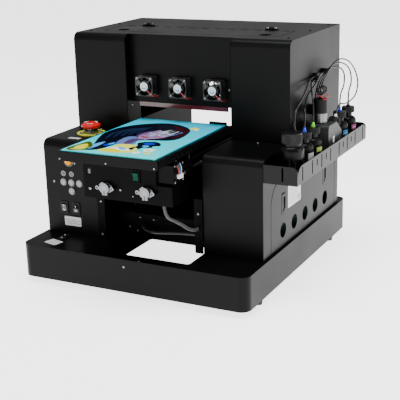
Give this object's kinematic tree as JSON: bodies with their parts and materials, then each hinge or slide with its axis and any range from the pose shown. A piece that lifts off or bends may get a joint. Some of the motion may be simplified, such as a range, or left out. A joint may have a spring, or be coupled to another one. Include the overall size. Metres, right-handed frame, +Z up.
{
  "type": "flatbed ultraviolet printer",
  "caption": "Small flatbed UV ink printer: folded black steel body with a tunnel, a bed that lifts and slides through it, a crossing head, a roof lid and an ink bottle tray at the right",
  "frame": {"origin": "under the middle of the whole machine, on the floor plane through the feet", "axes": "+X to the right seen from the front, +Y to the back, +Z up"},
  "size_m": [0.561, 0.6076, 0.4826],
  "materials": {
    "aluminium": "satin",
    "amber": "translucent look",
    "bed_black": "satin black",
    "black_plastic": "matte",
    "black_sheet": "fine satin black powder coat",
    "bottle_black": "satin",
    "bottle_grey": "satin",
    "door_black": "satin black",
    "estop_red": "gloss",
    "estop_yellow": "satin",
    "green": "gloss",
    "head_grey": "satin",
    "pale_plastic": "satin",
    "print": "printed sheet",
    "rubber": "matte",
    "shield_red": "dark red, glossy",
    "sleeve_grey": "ribbed",
    "steel": "ground"
  },
  "bodies": {
    "machine": {"base_plinth": "black_sheet", "rubber_feet": "rubber", "side_panels": "black_sheet", "tower_covers": "black_sheet", "hood_cover": "black_sheet", "inner_walls": "black_sheet", "rear_panel": "black_sheet", "fan_panel": "black_sheet", "uv_shield": "shield_red", "inner_frame": "black_sheet", "fan_frames": "black_plastic", "lid_hinges": "steel", "estop_base": "estop_yellow", "panel_sockets": "black_plastic", "drive_motors": "aluminium", "x_rail": "steel", "electronics": "aluminium", "lift_columns": "steel", "bottle_tray": "door_black", "ink_bottles": "bottle_black", "jerry_bottle": "bottle_grey", "bottle_caps": "bottle_black", "stir_motor": "aluminium", "tube_blocks": "black_plastic", "ink_tube_1": "rubber", "ink_tube_2": "rubber", "ink_tube_3": "rubber", "ink_tube_4": "rubber", "ink_tube_5": "rubber", "ink_tube_6": "rubber", "lift_cable": "sleeve_grey"},
    "lift": {"rail_frame": "bed_black", "guide_rods": "steel", "shaft_clamps": "aluminium", "y_motor": "aluminium", "y_belt": "rubber"},
    "table": {"bed_plate": "bed_black", "print_sample": "print", "bed_riser": "bed_black", "slide_bearings": "aluminium"},
    "head": {"print_carriage": "aluminium", "print_head": "head_grey", "uv_lamp": "aluminium"},
    "drive_pulley": {"y_pulley": "aluminium"},
    "green_switch": {"green_rocker": "green"},
    "screw_left": {"lead_screw_left": "steel"},
    "screw_right": {"lead_screw_right": "steel"},
    "rotor_left": {"fan_rotor_left": "black_plastic"},
    "rotor_centre": {"fan_rotor_centre": "black_plastic"},
    "rotor_right": {"fan_rotor_right": "black_plastic"},
    "lid": {"top_lid": "black_sheet"},
    "estop": {"estop_button": "estop_red"},
    "key_a": {"key_left": "pale_plastic"},
    "key_b": {"key_centre": "pale_plastic"},
    "key_c": {"key_right": "pale_plastic"},
    "key_d": {"key_down": "pale_plastic"},
    "amber": {"amber_button": "amber"},
    "switch_left": {"rocker_left": "black_plastic"},
    "switch_right": {"rocker_right": "black_plastic"},
    "power_switch": {"power_rocker": "pale_plastic"}
  },
  "joints": [
    {"name": "lift_slide", "type": "slide", "parent": "machine", "child": "lift", "axis": [0, 0, 1], "range_m": [-0.06, 0], "deforming": ["lift_cable"]},
    {"name": "table_slide", "type": "slide", "parent": "lift", "child": "table", "axis": [0, 1, 0], "range_m": [0, 0.3]},
    {"name": "drive_pulley_spin", "type": "hinge", "parent": "lift", "child": "drive_pulley", "pos_m": [0.0255, -0.21125, 0.2545], "axis": [1, 0, 0], "range_deg": [-60, 2120]},
    {"name": "green_switch_tip", "type": "hinge", "parent": "lift", "child": "green_switch", "pos_m": [-0.0085, -0.23625, 0.246], "axis": [-1, 0, 0], "range_deg": [0, 14]},
    {"name": "screw_left_turn", "type": "hinge", "parent": "machine", "child": "screw_left", "pos_m": [-0.1145, 0.05275, 0.09], "axis": [0, 0, 1], "range_deg": [-10, 2710]},
    {"name": "screw_right_turn", "type": "hinge", "parent": "machine", "child": "screw_right", "pos_m": [0.0535, 0.05275, 0.09], "axis": [0, 0, 1], "range_deg": [-10, 2710]},
    {"name": "head_slide", "type": "slide", "parent": "machine", "child": "head", "axis": [1, 0, 0], "range_m": [-0.3, 0]},
    {"name": "rotor_left_spin", "type": "hinge", "parent": "machine", "child": "rotor_left", "pos_m": [-0.1085, -0.01725, 0.372], "axis": [0, 1, 0], "continuous": true},
    {"name": "rotor_centre_spin", "type": "hinge", "parent": "machine", "child": "rotor_centre", "pos_m": [-0.0305, -0.01725, 0.372], "axis": [0, 1, 0], "continuous": true},
    {"name": "rotor_right_spin", "type": "hinge", "parent": "machine", "child": "rotor_right", "pos_m": [0.0475, -0.01725, 0.372], "axis": [0, 1, 0], "continuous": true},
    {"name": "lid_hinge", "type": "hinge", "parent": "machine", "child": "lid", "pos_m": [-0.0305, 0.12475, 0.48], "axis": [-1, 0, 0], "range_deg": [0, 100]},
    {"name": "estop_push", "type": "slide", "parent": "machine", "child": "estop", "axis": [0, 0, 1], "range_m": [-0.004, 0], "stiffness_N_per_m": 400, "springref_m": 0.004},
    {"name": "key_a_push", "type": "slide", "parent": "machine", "child": "key_a", "axis": [0, 1, 0], "range_m": [0, 0.0015], "stiffness_N_per_m": 300},
    {"name": "key_b_push", "type": "slide", "parent": "machine", "child": "key_b", "axis": [0, 1, 0], "range_m": [0, 0.0015], "stiffness_N_per_m": 300},
    {"name": "key_c_push", "type": "slide", "parent": "machine", "child": "key_c", "axis": [0, 1, 0], "range_m": [0, 0.0015], "stiffness_N_per_m": 300},
    {"name": "key_d_push", "type": "slide", "parent": "machine", "child": "key_d", "axis": [0, 1, 0], "range_m": [0, 0.0015], "stiffness_N_per_m": 300},
    {"name": "amber_push", "type": "slide", "parent": "machine", "child": "amber", "axis": [0, 1, 0], "range_m": [0, 0.003], "stiffness_N_per_m": 300},
    {"name": "switch_left_tip", "type": "hinge", "parent": "machine", "child": "switch_left", "pos_m": [-0.232, -0.15625, 0.1365], "axis": [-1, 0, 0], "range_deg": [0, 14]},
    {"name": "switch_right_tip", "type": "hinge", "parent": "machine", "child": "switch_right", "pos_m": [-0.2035, -0.15625, 0.1365], "axis": [-1, 0, 0], "range_deg": [0, 14]},
    {"name": "power_switch_tip", "type": "hinge", "parent": "machine", "child": "power_switch", "pos_m": [-0.2205, -0.18525, 0.079], "axis": [-1, 0, 0], "range_deg": [0, 14]}
  ],
  "couplings": [
    {"joint": "drive_pulley_spin", "follows": "table_slide", "rad_per_m": 119.05},
    {"joint": "screw_left_turn", "follows": "lift_slide", "rad_per_m": -785.4},
    {"joint": "screw_right_turn", "follows": "lift_slide", "rad_per_m": -785.4}
  ]
}
